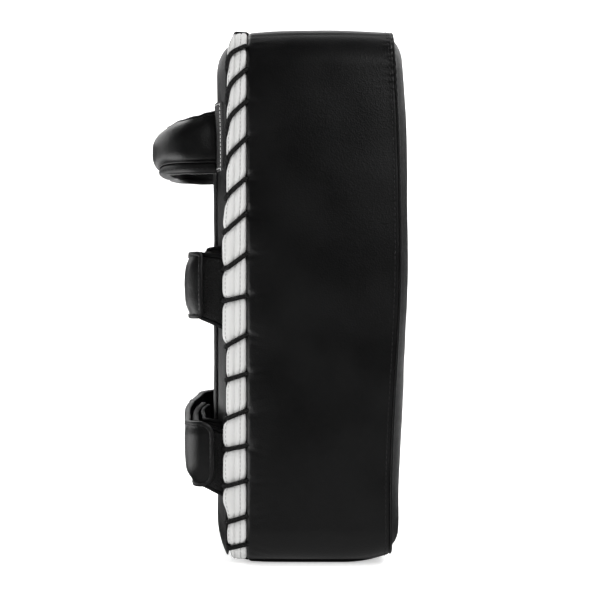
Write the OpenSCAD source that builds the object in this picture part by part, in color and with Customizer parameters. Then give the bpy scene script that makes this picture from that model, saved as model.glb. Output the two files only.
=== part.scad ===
// Thai pad (kick shield): a laced foam block with a grip handle and two hook-and-loop forearm straps.
// X points at the striking face, Z is up along the pad, and the origin is the centre of the flat base.

/* [Body] */
// Height of the pad
pad_h = 400; // [360:5:420]
// Width of the pad across the forearm
pad_w = 200; // [180:5:210]
// Depth of the side wall, from the lacing to the face seam
wall_d = 116; // [90:2:130]
// Corner radius seen from the front
corner_r = 28; // [24:1:36]
// Thickness of the vinyl
skin_t = 1.4; // [1:0.1:2]
// How far the striking face bulges past its seam
face_bulge = 7; // [5:0.5:9]

/* [Edge] */
// Width of each rolled white binding
binding_w = 7.4; // [6:0.2:9]
// Depth of each rolled white binding
binding_d = 9; // [7:0.5:11]
// Diameter of the lacing cord
cord_d = 3.8; // [3:0.2:4.2]
// Number of lacing turns round the whole edge
turns = 40; // [32:1:44]

/* [Back] */
// Depth of the back cover behind the bindings
back_d = 6; // [5:0.5:8]
// Thickness of the forearm cushion
cushion_t = 7; // [5:0.5:8]
// Width of the forearm cushion
cushion_w = 136; // [110:2:138]
// Height of the forearm cushion
cushion_h = 286; // [280:2:330]

/* [Handle] */
// Height of the grip band
grip_h = 46; // [40:1:50]
// Thickness of the grip band
grip_t = 14; // [10:1:16]
// Overall width of the grip arch
grip_w = 170; // [160:2:172]
// How far the grip arch stands off the back cover
grip_reach = 53; // [50:1:62]
// Height of the middle of the grip above the base
grip_z = 319; // [300:1:325]

/* [Straps] */
// Height of each strap band
strap_h = 50; // [45:1:52]
// Thickness of each strap band
strap_t = 4; // [3:0.5:4]
// Bottom of the upper strap above the base
upper_z = 183; // [178:1:200]
// Bottom of the lower strap above the base
lower_z = 65; // [60:1:80]
// How much the lower strap slopes down towards the near edge, in degrees
lower_tilt = 4; // [0:1:6]
// Length of the straight end of the lower tab
lower_tab = 6; // [3:1:8]
// Where the free end of each landing flap lies across the pad
flap_end = 12; // [0:1:20]

/* [Hidden] */

gap = 0.2;                              // clearance between pieces that lie on each other
arc_fn = 96;                            // facets of a full round in the preview
hull_fn = 32;                           // facets of a full round inside a hull

// Planes across the depth, from the back to the front.
x_wall = -wall_d / 2;                   // rear edge of the side wall
x_face = wall_d / 2;                    // face seam at its most forward point
x_mid_binding = x_wall - gap - binding_w;
x_rear_binding = x_mid_binding - gap - binding_w;
x_back_edge = x_rear_binding - gap;     // front edge of the back cover
x_back = x_back_edge - back_d;          // flat of the back cover
x_cushion = x_back - cushion_t;         // top of the forearm cushion

// The face seam lies on an upright cylinder, so the face is slightly curved from end to end.
face_r = 3000;
face_z = 218;
crown_r = 930;                          // crown of the face across the width
seam_half = 2;                          // half the width of the piping at the seam
face_layer = 26;                        // dense foam behind the face
base_layer = 24;                        // dense foam at the rear of the block
lace_room = 4.4;                        // space behind the side wall's rear edge for the lacing

binding_inset = 4;                      // how far the bindings sit inside the outline
board_inset = 18.4;                     // the layers inside the lacing clear its inner run
board_t = 3;

// ---------- shared shapes ----------

module rounded_rect(w, h, r) {
    square([w - 2 * r, h], center = true);
    square([w, h - 2 * r], center = true);
    for (sx = [-1, 1], sy = [-1, 1])
        translate([sx * (w / 2 - r), sy * (h / 2 - r)]) circle(r = r);
}

// The pad's outline seen from the front, pulled in by inset.
module outline(inset) {
    translate([0, pad_h / 2])
        rounded_rect(pad_w - 2 * inset, pad_h - 2 * inset, max(3, corner_r - inset));
}

// A flat shape drawn across the width and height, extruded from x0 to x1.
module along_x(x0, x1) {
    translate([x0, 0, 0]) rotate([90, 0, 90]) linear_extrude(height = x1 - x0) children();
}

module block(x0, x1, inset) {
    along_x(x0, x1) outline(inset);
}

module ring(x0, x1, inset_out, inset_in) {
    along_x(x0, x1) difference() {
        outline(inset_out);
        outline(inset_in);
    }
}

// Everything behind the cylinder that the face seam lies on, moved forward by dx.
module behind_seam(dx) {
    translate([x_face - face_r + dx, 0, face_z])
        rotate([90, 0, 0]) cylinder(r = face_r, h = 2 * pad_w, center = true, $fn = 256);
}

// Everything behind the bulged face, moved forward by dx.
module behind_face(dx) {
    translate([x_face - face_r + dx, 0, face_z])
        rotate([90, 0, 0]) rotate([0, 0, -8])
            rotate_extrude(angle = 16, $fn = 256)
                intersection() {
                    translate([face_r + face_bulge - crown_r, 0]) circle(r = crown_r, $fn = 256);
                    translate([face_r - 3 * face_layer, -pad_w])
                        square([4 * face_layer, 2 * pad_w]);
                }
}

// ---------- foam block and its cover ----------

module striking_face_cover() {
    color([0.10, 0.10, 0.105]) difference() {
        intersection() {
            block(0, x_face + 20, 2 * seam_half);
            behind_face(0);
        }
        intersection() {
            block(-1, x_face + 20, 2 * seam_half + skin_t);
            behind_face(-skin_t);
        }
        behind_seam(-seam_half);
    }
}

module face_piping() {
    color([0.07, 0.07, 0.075]) difference() {
        intersection() {
            ring(0, x_face + 20, 0.2, 2 * seam_half - gap);
            behind_seam(seam_half);
        }
        behind_seam(-seam_half + gap);
    }
}

module side_gusset() {
    color([0.10, 0.10, 0.105]) intersection() {
        ring(x_wall, x_face + 20, 0, skin_t);
        behind_seam(-seam_half);
    }
}

module gusset_binding() {
    color([0.86, 0.86, 0.85])
        ring(x_mid_binding, x_wall - gap, binding_inset, binding_inset + binding_d);
}

module back_binding() {
    color([0.86, 0.86, 0.85])
        ring(x_rear_binding, x_mid_binding - gap, binding_inset, binding_inset + binding_d);
}

module impact_foam() {
    color([0.22, 0.24, 0.28]) {
        intersection() {
            block(x_face - face_layer, x_face + 20, 2 * seam_half + skin_t + gap);
            behind_face(-skin_t - gap);
        }
        intersection() {
            block(x_face - face_layer, x_face, skin_t + gap);
            behind_seam(-seam_half - gap);
        }
    }
}

module core_foam() {
    color([0.75, 0.72, 0.55])
        block(x_wall + base_layer + gap, x_face - face_layer - gap, skin_t + gap);
}

module base_foam() {
    color([0.22, 0.24, 0.28])
        block(x_wall + lace_room, x_wall + base_layer, skin_t + gap);
}

// A foam layer and a stiff board fill the space inside the bindings and the lacing.
module rear_foam() {
    color([0.75, 0.72, 0.55])
        block(x_back + skin_t + 2 * gap + board_t, x_wall + lace_room - gap, board_inset);
}

module back_board() {
    color([0.16, 0.16, 0.17])
        block(x_back + skin_t + gap, x_back + skin_t + gap + board_t, board_inset);
}

module back_shape(inset, dx) {
    $fn = hull_fn;
    hull() {
        block(x_back_edge - 1, x_back_edge, binding_inset + inset);
        block(x_back + dx, x_back + dx + 1, binding_inset + 8 + inset);
    }
}

module back_cover() {
    color([0.10, 0.10, 0.105]) difference() {
        back_shape(0, 0);
        intersection() {
            back_shape(skin_t, skin_t);
            block(x_back + skin_t, x_wall, binding_inset + skin_t);
        }
        block(x_back_edge - 1.01, x_wall, binding_inset + skin_t);
    }
}

// ---------- lacing ----------
// The cord whips over both bindings, goes in through the back cover, returns behind the bindings
// and comes out through the side wall one pitch further on.

lace_inset = 9.2;                       // centre of the cord's loop, inside the outline
lace_x = (x_wall + x_back_edge) / 2;
lace_a = binding_w + 2.4;               // half the loop's width
lace_b = binding_d / 2 + cord_d / 2 + 0.4;
rings_per_turn = 10;
cord_sides = 6;
run_w = pad_w - 2 * corner_r;           // straight runs of the seam
run_h = pad_h - 2 * corner_r;
lace_r = corner_r - lace_inset;
corner_len = PI * lace_r / 2;
seam_len = 2 * (run_w + run_h + 2 * corner_len);

function at(y, z, a) = [y, z, a];
// Place and outward angle on the seam at distance s, from the middle of the base towards +Y.
function seam_place(s) =
    let (
        h = run_w / 2,
        c = corner_len,
        y0 = pad_w / 2 - corner_r,
        z0 = pad_h / 2 - corner_r,
        turn = function (d) d / c * 90,
        round_at = function (cy, cz, a) at(cy + lace_r * cos(a), cz + lace_r * sin(a), a),
        e = [h, h + c, h + c + run_h, h + 2 * c + run_h, h + 2 * c + run_h + run_w,
             h + 3 * c + run_h + run_w, h + 3 * c + 2 * run_h + run_w,
             h + 4 * c + 2 * run_h + run_w]
    )
    s < e[0] ? at(s, -pad_h / 2 + lace_inset, -90) :
    s < e[1] ? round_at(y0, -z0, -90 + turn(s - e[0])) :
    s < e[2] ? at(pad_w / 2 - lace_inset, -z0 + s - e[1], 0) :
    s < e[3] ? round_at(y0, z0, turn(s - e[2])) :
    s < e[4] ? at(y0 - (s - e[3]), pad_h / 2 - lace_inset, 90) :
    s < e[5] ? round_at(-y0, z0, 90 + turn(s - e[4])) :
    s < e[6] ? at(-pad_w / 2 + lace_inset, z0 - (s - e[5]), 180) :
    s < e[7] ? round_at(-y0, -z0, 180 + turn(s - e[6])) :
    at(-y0 + s - e[7], -pad_h / 2 + lace_inset, 270);

function squared(v) = sign(v) * pow(abs(v), 0.7);
// Centre of the cord: k counts rings.
function lace_point(k) =
    let (
        a = 360 * k / rings_per_turn,
        p = seam_place(seam_len * (k / rings_per_turn) / turns),
        out = lace_b * squared(cos(a))
    )
    [lace_x + lace_a * squared(sin(a)), p[0] + out * cos(p[2]),
     pad_h / 2 + p[1] + out * sin(p[2])];

function unit(v) = v / norm(v);
lace_n = turns * rings_per_turn;
lace_points = [for (k = [0 : lace_n - 1]) lace_point(k)];

// A closed tube through pts. Each ring lies across the route, and its first spoke points away
// from the middle of the loop, so that the rings never twist.
module closed_tube(pts, hubs, r, sides) {
    n = len(pts);
    rings = [for (i = [0 : n - 1])
        let (
            along = unit(pts[(i + 1) % n] - pts[(i + n - 1) % n]),
            away = unit(pts[i] - hubs[i]),
            spoke = unit(away - along * (away * along)),
            side = cross(along, spoke)
        )
        [for (j = [0 : sides - 1])
            pts[i] + r * (cos(360 * j / sides) * spoke + sin(360 * j / sides) * side)]];
    polyhedron(
        points = [for (q = rings) each q],
        faces = [for (i = [0 : n - 1], j = [0 : sides - 1])
            let (i2 = (i + 1) % n, j2 = (j + 1) % sides)
            each [[i * sides + j, i2 * sides + j, i2 * sides + j2],
                  [i * sides + j, i2 * sides + j2, i * sides + j2]]]
    );
}

lace_hubs = [for (k = [0 : lace_n - 1])
    let (p = seam_place(seam_len * (k / rings_per_turn) / turns))
    [lace_x, p[0], pad_h / 2 + p[1]]];

module lacing_cord() {
    color([0.05, 0.05, 0.05]) closed_tube(lace_points, lace_hubs, cord_d / 2, cord_sides);
}

// ---------- forearm cushion ----------

cushion_z = 197;                        // middle of the cushion
cushion_r = 22;
cushion_pipe = 3;

module cushion_outline(inset) {
    translate([0, cushion_z])
        rounded_rect(cushion_w - 2 * inset, cushion_h - 2 * inset, cushion_r - inset);
}

module cushion_shape(inset, dx) {
    $fn = hull_fn;
    hull() {
        along_x(x_back - 1 - gap, x_back - gap) cushion_outline(cushion_pipe + inset);
        along_x(x_cushion + dx, x_cushion + dx + 0.5) cushion_outline(cushion_pipe + 4 + inset);
    }
}

module forearm_cushion_cover() {
    color([0.09, 0.09, 0.095]) difference() {
        cushion_shape(0, 0);
        cushion_shape(skin_t, skin_t);
    }
}

module forearm_cushion_foam() {
    color([0.75, 0.72, 0.55])
        along_x(x_cushion + skin_t + gap, x_back - 2 * gap)
            cushion_outline(cushion_pipe + 4 + skin_t + gap);
}

module forearm_cushion_piping() {
    color([0.07, 0.07, 0.075])
        along_x(x_back - cushion_pipe, x_back - gap) difference() {
            cushion_outline(0);
            cushion_outline(cushion_pipe - gap);
        }
}

// ---------- handle ----------
// A padded band in a U, sewn to the back at both ends. Its ends are relieved above and below the
// stitch line, so that the arch can rock a little about an axis across the pad.

rock = 12;                              // how far the arch rocks each way, in degrees
anchor_t = 2;
x_rock = x_back - anchor_t - 3.4;       // rocking axis
rock_end_r = 2.9;                       // rounded end of each leg, on that axis
grip_r = 32;                            // outer corner of the arch
x_grip = x_back - grip_reach;
edge_h = 4;                             // bound edges of the band
cover_t = 1.4;
webbing_t = 1.6;

// The arch between two offsets from its outer face, seen from above.
module arch(out, inn) {
    leg = x_back - x_grip + 30;
    difference() {
        translate([x_grip + out + leg / 2, 0])
            rounded_rect(leg, grip_w - 2 * out, grip_r - out);
        translate([x_grip + inn + leg / 2, 0])
            rounded_rect(leg, grip_w - 2 * inn, grip_r - inn);
    }
}

// Cuts the band off at the rocking axis, with room to tilt each way.
module relieved() {
    far_x = 200;
    reach = grip_h;
    difference() {
        children();
        for (s = [-1, 1])
            translate([x_rock, 0, grip_z]) rotate([90, 0, 0])
                linear_extrude(height = 2 * pad_w, center = true)
                    polygon([[0, 0], [far_x, 0], [far_x, s * reach],
                             [-reach * tan(rock + 1), s * reach]]);
    }
}

module arch_layer(out, inn, z0, z1) {
    relieved() translate([0, 0, z0]) linear_extrude(height = z1 - z0) arch(out, inn);
}

// Rounded ends of a layer, which turn on the rocking axis.
module arch_ends(out, inn) {
    for (s = [-1, 1])
        translate([x_rock, s * (grip_w / 2 - (out + inn) / 2), grip_z])
            rotate([90, 0, 0]) cylinder(r = rock_end_r, h = inn - out, center = true);
}

grip_z0 = grip_z - grip_h / 2;
grip_z1 = grip_z + grip_h / 2;

module handle_skin(out, inn) {
    arch_layer(out, inn, grip_z0 + edge_h + gap, grip_z1 - edge_h - gap);
    arch_ends(out, inn);
}

module handle_cover() {
    color([0.10, 0.10, 0.105]) handle_skin(0, cover_t);
}

module handle_foam() {
    color([0.22, 0.24, 0.28])
        handle_skin(cover_t + gap, grip_t - cover_t - webbing_t - 2 * gap);
}

module handle_webbing() {
    color([0.12, 0.12, 0.12])
        handle_skin(grip_t - cover_t - webbing_t - gap, grip_t - cover_t - gap);
}

module handle_lining() {
    color([0.08, 0.08, 0.08]) handle_skin(grip_t - cover_t, grip_t);
}

module handle_top_binding() {
    color([0.07, 0.07, 0.075]) arch_layer(0, grip_t, grip_z1 - edge_h, grip_z1);
}

module handle_bottom_binding() {
    color([0.07, 0.07, 0.075]) arch_layer(0, grip_t, grip_z0, grip_z0 + edge_h);
}

// A reinforcing patch under each end of the handle.
module handle_anchor(s) {
    color([0.06, 0.06, 0.06])
        translate([x_back - anchor_t - gap, s > 0 ? grip_w / 2 - grip_t - 3 : -grip_w / 2 - 1,
                   grip_z - grip_h / 2 - 5])
            cube([anchor_t, grip_t + 4, grip_h + 10]);
}

// ---------- forearm straps ----------
// Seen from above each strap is a flat U. The hook strap starts at the far edge, crosses the back
// and folds round the near corner as a tab. The landing flap starts at the near edge and lies
// under it. Every layer is given by its radii about the two corner centres.

corner_x = x_cushion - 6.1;             // both corners, measured along X
near_y = -pad_w / 2 + 13.5;
far_y = pad_w / 2 - 17;
flap_r = [2, 2 + strap_t];              // landing flap
loop_r = [flap_r[1], flap_r[1] + 1.2];  // loop tape on it
hook_r = [loop_r[1] + 0.3, loop_r[1] + 1.3];
band_r = [hook_r[1], hook_r[1] + strap_t];
tape_h = 3;                             // bound edge of a strap
fold_room = 0.9;                        // room round a fold's round end, for the part that opens
root_x = x_back_edge - 0.8;             // where the straps leave the seam
swing_r = (band_r[0] + band_r[1]) / 2;
flap_mid = (flap_r[0] + flap_r[1]) / 2;
hook_y = [near_y, -10];                 // hook tape on the straight run

// Hinge places: each fold turns about the middle of its own bend.
function fold(cy, r, s) = [corner_x - r * cos(45), cy + s * r * sin(45)];
strap_fold = fold(far_y, swing_r, 1);
tab_fold = fold(near_y, swing_r, -1);
flap_fold = fold(near_y, flap_mid, -1);

// A bend of one layer, between two angles about a corner.
module bend(cy, r, a0, a1) {
    big = 3 * band_r[1];
    translate([corner_x, cy]) intersection() {
        difference() {
            circle(r = r[1]);
            circle(r = r[0]);
        }
        polygon([[0, 0], big * [cos(a0), sin(a0)],
                 big * [cos((a0 + a1) / 2), sin((a0 + a1) / 2)], big * [cos(a1), sin(a1)]]);
    }
}

// The stretch of a layer that crosses the back.
module crossing(r, y0, y1) {
    translate([corner_x - r[1], y0]) square([r[1] - r[0], y1 - y0]);
}

// The stretch of a layer beside a corner, back towards the seam.
module wall(cy, r, s, x1) {
    translate([corner_x, s > 0 ? cy + r[0] : cy - r[1]]) square([x1 - corner_x, r[1] - r[0]]);
}

// A round end that turns in the fold, and the room that it needs.
module knuckle(place, r) {
    translate(place) circle(r = r);
}

module upright(z0, h) {
    translate([0, 0, z0]) linear_extrude(height = h) children();
}

module strap_shape() {
    difference() {
        union() {
            bend(far_y, band_r, 135, 180);
            crossing(band_r, near_y, far_y);
            bend(near_y, band_r, 180, 225);
        }
        knuckle(tab_fold, strap_t / 2 + fold_room);
    }
    knuckle(strap_fold, strap_t / 2);
}

module strap_root_shape() {
    difference() {
        union() {
            bend(far_y, band_r, 90, 135);
            wall(far_y, band_r, 1, root_x);
        }
        knuckle(strap_fold, strap_t / 2 + fold_room);
    }
}

module tab_shape(end_x) {
    bend(near_y, band_r, 225, 270);
    wall(near_y, band_r, -1, end_x);
    knuckle(tab_fold, strap_t / 2);
}

module flap_shape() {
    bend(near_y, flap_r, 180, 225);
    crossing(flap_r, near_y, flap_end);
    knuckle(flap_fold, strap_t / 2);
}

module strap_band(z0) {
    color([0.09, 0.09, 0.095]) upright(z0 + tape_h + gap, strap_h - 2 * tape_h - 2 * gap)
        strap_shape();
}

module strap_binding(z0) {
    color([0.07, 0.07, 0.075]) for (z = [z0, z0 + strap_h - tape_h])
        upright(z, tape_h) strap_shape();
}

module strap_hook(z0) {
    color([0.05, 0.05, 0.05]) upright(z0 + tape_h + 2, strap_h - 2 * tape_h - 4)
        crossing(hook_r, hook_y[0], hook_y[1]);
}

module strap_root(z0) {
    color([0.09, 0.09, 0.095]) upright(z0 + tape_h + gap, strap_h - 2 * tape_h - 2 * gap)
        strap_root_shape();
}

module strap_root_binding(z0) {
    color([0.07, 0.07, 0.075]) for (z = [z0, z0 + strap_h - tape_h])
        upright(z, tape_h) strap_root_shape();
}

module tab_band(z0, end_x) {
    color([0.09, 0.09, 0.095]) upright(z0 + tape_h + gap, strap_h - 2 * tape_h - 2 * gap)
        tab_shape(end_x);
}

// The bound edge runs along the top, the bottom and the free end of the tab.
module tab_binding(z0, end_x) {
    color([0.07, 0.07, 0.075]) {
        for (z = [z0, z0 + strap_h - tape_h]) upright(z, tape_h) tab_shape(end_x);
        upright(z0, strap_h) translate([end_x + gap, near_y - band_r[1]])
            square([tape_h, strap_t]);
        for (z = [z0, z0 + strap_h - tape_h])
            upright(z, tape_h) translate([end_x - gap, near_y - band_r[1]])
                square([2 * gap, strap_t]);
    }
}

module tab_hook(z0, end_x) {
    color([0.05, 0.05, 0.05]) upright(z0 + tape_h + 2, strap_h - 2 * tape_h - 4) {
        bend(near_y, hook_r, 228, 270);
        wall(near_y, hook_r, -1, end_x);
    }
}

// The near wall of the loop slopes down to its place in the seam, where it is a little taller.
slice = 0.1;
root_grow = 4;
module slanted(z0, h, drop, x_from, x_to, r) {
    t = r[1] - r[0];
    hull() {
        translate([x_from - slice, near_y - r[1], z0]) cube([slice, t, h]);
        translate([x_to - slice, near_y - r[1], z0 - drop - root_grow / 2])
            cube([slice, t, h + root_grow]);
    }
}

module flap_root(z0, drop) {
    color([0.09, 0.09, 0.095]) {
        difference() {
            upright(z0, strap_h) bend(near_y, flap_r, 225, 270);
            upright(z0 - 1, strap_h + 2) knuckle(flap_fold, strap_t / 2 + fold_room);
        }
        slanted(z0, strap_h, drop, corner_x + slice, root_x, flap_r);
    }
}

module flap_root_loop(z0, drop) {
    color([0.12, 0.12, 0.12]) {
        difference() {
            upright(z0 + tape_h, strap_h - 2 * tape_h) bend(near_y, loop_r, 228, 270);
            upright(z0, strap_h) knuckle(flap_fold, loop_r[1] - flap_mid + 0.5);
        }
        slanted(z0 + tape_h, strap_h - 2 * tape_h, drop, corner_x + slice, root_x - 3, loop_r);
    }
}

module flap_band(z0) {
    color([0.09, 0.09, 0.095]) upright(z0 + tape_h + gap, strap_h - 2 * tape_h - 2 * gap)
        flap_shape();
}

module flap_binding(z0) {
    color([0.07, 0.07, 0.075]) {
        for (z = [z0, z0 + strap_h - tape_h]) upright(z, tape_h) flap_shape();
        upright(z0, strap_h) crossing(flap_r, flap_end + gap, flap_end + tape_h);
        for (z = [z0, z0 + strap_h - tape_h])
            upright(z, tape_h) crossing(flap_r, flap_end - gap, flap_end + 2 * gap);
    }
}

module flap_loop(z0) {
    color([0.12, 0.12, 0.12]) upright(z0 + tape_h, strap_h - 2 * tape_h) {
        crossing(loop_r, near_y, flap_end - 2);
        bend(near_y, loop_r, 180, 222);
    }
}

// Slopes the lower strap about the middle of its band.
module sloped() {
    z = lower_z + strap_h / 2;
    translate([0, 0, z]) rotate([lower_tilt, 0, 0]) translate([0, 0, -z]) children();
}

$fn = arc_fn;
upper_end = corner_x + 0.5;             // straight end of the upper tab
lower_end = corner_x + lower_tab;       // straight end of the lower tab
upper_drop = 6;                         // how far the near end of each loop slopes down
lower_drop = 10;

striking_face_cover();
face_piping();
side_gusset();
gusset_binding();
back_binding();
lacing_cord();
back_cover();
impact_foam();
core_foam();
base_foam();
rear_foam();
back_board();
forearm_cushion_cover();
forearm_cushion_foam();
forearm_cushion_piping();
handle_anchor(-1);  // handle_anchor_near
handle_anchor(1);  // handle_anchor_far
handle_cover();
handle_foam();
handle_webbing();
handle_lining();
handle_top_binding();
handle_bottom_binding();
strap_root(upper_z);  // upper_strap_root
strap_root_binding(upper_z);  // upper_strap_root_binding
strap_band(upper_z);  // upper_strap_band
strap_binding(upper_z);  // upper_strap_binding
strap_hook(upper_z);  // upper_strap_hook
tab_band(upper_z, upper_end);  // upper_tab_band
tab_binding(upper_z, upper_end);  // upper_tab_binding
tab_hook(upper_z, upper_end);  // upper_tab_hook
flap_root(upper_z, upper_drop);  // upper_flap_root
flap_root_loop(upper_z, upper_drop);  // upper_flap_root_loop
flap_band(upper_z);  // upper_flap_band
flap_binding(upper_z);  // upper_flap_binding
flap_loop(upper_z);  // upper_flap_loop
sloped() strap_root(lower_z);  // lower_strap_root
sloped() strap_root_binding(lower_z);  // lower_strap_root_binding
sloped() strap_band(lower_z);  // lower_strap_band
sloped() strap_binding(lower_z);  // lower_strap_binding
sloped() strap_hook(lower_z);  // lower_strap_hook
sloped() tab_band(lower_z, lower_end);  // lower_tab_band
sloped() tab_binding(lower_z, lower_end);  // lower_tab_binding
sloped() tab_hook(lower_z, lower_end);  // lower_tab_hook
sloped() flap_root(lower_z, lower_drop);  // lower_flap_root
sloped() flap_root_loop(lower_z, lower_drop);  // lower_flap_root_loop
sloped() flap_band(lower_z);  // lower_flap_band
sloped() flap_binding(lower_z);  // lower_flap_binding
sloped() flap_loop(lower_z);  // lower_flap_loop
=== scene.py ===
"""A Muay Thai kick pad standing on its end, seen from its laced edge.

Shapes are worked out in millimetres from the frame and turned into metres when a mesh is made.
"""

import math

import bmesh
import bpy
import numpy as np
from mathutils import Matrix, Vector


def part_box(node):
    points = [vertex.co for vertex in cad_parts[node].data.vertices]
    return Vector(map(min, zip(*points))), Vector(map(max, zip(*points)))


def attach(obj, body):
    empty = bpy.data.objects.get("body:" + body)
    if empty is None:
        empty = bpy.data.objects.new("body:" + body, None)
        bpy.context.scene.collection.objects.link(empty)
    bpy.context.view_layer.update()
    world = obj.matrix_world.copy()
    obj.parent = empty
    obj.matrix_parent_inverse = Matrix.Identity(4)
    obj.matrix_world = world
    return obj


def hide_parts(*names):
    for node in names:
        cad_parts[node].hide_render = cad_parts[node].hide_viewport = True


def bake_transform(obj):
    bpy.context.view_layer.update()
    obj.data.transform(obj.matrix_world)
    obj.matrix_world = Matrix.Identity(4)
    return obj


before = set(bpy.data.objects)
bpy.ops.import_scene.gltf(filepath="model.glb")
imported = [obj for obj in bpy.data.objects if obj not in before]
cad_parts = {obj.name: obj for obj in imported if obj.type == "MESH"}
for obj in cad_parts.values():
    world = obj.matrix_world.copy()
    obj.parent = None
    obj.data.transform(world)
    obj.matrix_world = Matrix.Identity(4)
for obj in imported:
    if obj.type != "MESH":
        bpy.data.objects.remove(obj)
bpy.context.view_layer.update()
MM = 0.001


def box_mm(node):
    low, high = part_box(node)
    return np.array(low) / MM, np.array(high) / MM


# ---------- measures from the frame, in millimetres ----------

WALL_LOW, WALL_HIGH = box_mm("side_gusset")
PAD_W = WALL_HIGH[1] - WALL_LOW[1]
PAD_H = WALL_HIGH[2] - WALL_LOW[2]
CORNER_R = 28
X_WALL = WALL_LOW[0]  # rear edge of the side wall
ROLL_FRONT = box_mm("gusset_binding")[1][0]
ROLL_BACK = box_mm("back_binding")[0][0]
X_EDGE = box_mm("back_cover")[1][0]  # front edge of the back cover
X_BACK = box_mm("back_cover")[0][0]  # flat of the back cover
X_FLAT = X_BACK - 1.9  # the padded back stands a little proud
CUSHION_LOW, CUSHION_HIGH = box_mm("forearm_cushion_piping")
X_CUSHION = box_mm("forearm_cushion_cover")[0][0]
GRIP_OUT_LOW, GRIP_OUT_HIGH = box_mm("handle_bottom_binding")
GRIP_TOP = box_mm("handle_top_binding")[1][2]
STRAP_LOW, STRAP_HIGH = box_mm("upper_strap_band")


# ---------- small mathematics ----------

def unit(t):
    return np.clip(t, 0, 1)


def smooth(t):
    t = unit(t)
    return t * t * (3 - 2 * t)


def signed_power(t, power):
    return np.sign(t) * np.abs(t) ** power


def domed(d, reach, power):
    """Rises from 0 at an edge to 1 at a reach inside it."""
    return 1 - (1 - unit(d / reach)) ** power


def hump(x, width):
    """1 where x is 0, falling away on either side over about a width."""
    return np.exp(-(x / width) ** 2)


def keyed(x, keys):
    """Eases between (place, value) keys."""
    p, v = np.array(keys, float).T
    x = np.clip(np.asarray(x, float), p[0], p[-1])
    i = np.clip(np.searchsorted(p, x, side="right") - 1, 0, len(keys) - 2)
    return v[i] + (v[i + 1] - v[i]) * smooth((x - p[i]) / (p[i + 1] - p[i]))


def ripple(points, size, seed, waves=7):
    """Soft unevenness from -1 to 1, with hollows about size millimetres apart."""
    rng = np.random.RandomState(seed)
    total = np.zeros(points.shape[:-1])
    for _ in range(waves):
        direction = rng.normal(size=3)
        direction /= np.linalg.norm(direction)
        pitch = size * rng.uniform(0.7, 1.5)
        total += np.sin(points @ direction * (2 * math.pi / pitch) + rng.uniform(0, 6.28))
    return total / waves * 1.8


def spots(x, y, z):
    return np.stack(np.broadcast_arrays(x, y, z), -1)


def looped(rows):
    return np.concatenate([rows, rows[:1]])


def unit_rows(rows):
    return rows / np.linalg.norm(rows, axis=1)[:, None]


def lengths(path):
    """Distance along a path at each of its points."""
    return np.concatenate([[0], np.cumsum(np.linalg.norm(np.diff(path, axis=0), axis=1))])


def sample(places, at, rows):
    """Rows of values at some places, from rows known at distances at."""
    return np.stack([np.interp(places, at, column) for column in rows.T], -1)


# ---------- mesh building ----------

SHARP_ANGLE = math.radians(48)
TUBE_SIDES = 10


def add_mesh(name, points, faces, uvs):
    mesh = bpy.data.meshes.new(name)
    mesh.from_pydata((np.asarray(points, float) * MM).tolist(), [], faces)
    layer = mesh.uv_layers.new(name="UVMap")
    layer.data.foreach_set("uv", np.asarray(uvs, np.float32).ravel())
    bm = bmesh.new()
    bm.from_mesh(mesh)
    bmesh.ops.recalc_face_normals(bm, faces=bm.faces)
    bm.to_mesh(mesh)
    bm.free()
    mesh.shade_smooth()
    mesh.set_sharp_from_angle(angle=SHARP_ANGLE)
    obj = bpy.data.objects.new(name, mesh)
    bpy.context.scene.collection.objects.link(obj)
    return obj


def grid_mesh(points, wrap_u=False, wrap_v=False, u=None, v=None, caps=False):
    """Vertices, faces and UVs of a grid of points, closed on itself along u or v where asked."""
    nu, nv = points.shape[:2]
    i, j = np.meshgrid(np.arange(nu if wrap_u else nu - 1),
                       np.arange(nv if wrap_v else nv - 1), indexing="ij")
    i, j = i.ravel(), j.ravel()
    i2, j2 = (i + 1) % nu, (j + 1) % nv
    faces = np.stack([i * nv + j, i2 * nv + j, i2 * nv + j2, i * nv + j2], -1).tolist()
    u = np.arange(nu + 1.0) if u is None else np.asarray(u, float)
    v = np.arange(nv + 1.0) if v is None else np.asarray(v, float)
    uvs = np.stack([np.stack([u[a], v[b]], -1)
                    for a, b in ((i, j), (i + 1, j), (i + 1, j + 1), (i, j + 1))], 1)
    uvs = uvs.reshape(-1, 2)
    if caps:
        faces.append(list(range(nv)))
        faces.append(list(range((nu - 1) * nv, nu * nv))[::-1])
        end = np.stack([np.full(nv, u[0]), v[:nv]], -1)
        uvs = np.concatenate([uvs, end, end[::-1]])
    return points.reshape(-1, 3), faces, uvs * MM


def merged(parts):
    """One vertex list, face list and UV list from several."""
    points, faces, uvs, start = [], [], [], 0
    for p, f, t in parts:
        points.append(p)
        faces += [[k + start for k in face] for face in f]
        uvs.append(t)
        start += len(p)
    return np.concatenate(points), faces, np.concatenate(uvs)


def tube_mesh(path, radius):
    """A round tube along a closed path. Its rings keep the shortest turn from one to the next."""
    along = unit_rows(np.roll(path, -1, 0) - np.roll(path, 1, 0))
    spoke = np.cross(along[0], [0.3, 0.2, 1.0])
    spokes = []
    for ahead in along:
        spoke = spoke - ahead * (spoke @ ahead)
        spoke = spoke / np.linalg.norm(spoke)
        spokes.append(spoke)
    spokes = np.array(spokes)
    across = np.cross(along, spokes)
    a = (np.arange(TUBE_SIDES) * 2 * math.pi / TUBE_SIDES)[None, :, None]
    rings = (path[:, None] + radius * np.cos(a) * spokes[:, None]
             + radius * np.sin(a) * across[:, None])
    v = np.arange(TUBE_SIDES + 1) * (2 * math.pi * radius / TUBE_SIDES)
    return grid_mesh(rings, True, True, lengths(looped(path)), v)


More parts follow.
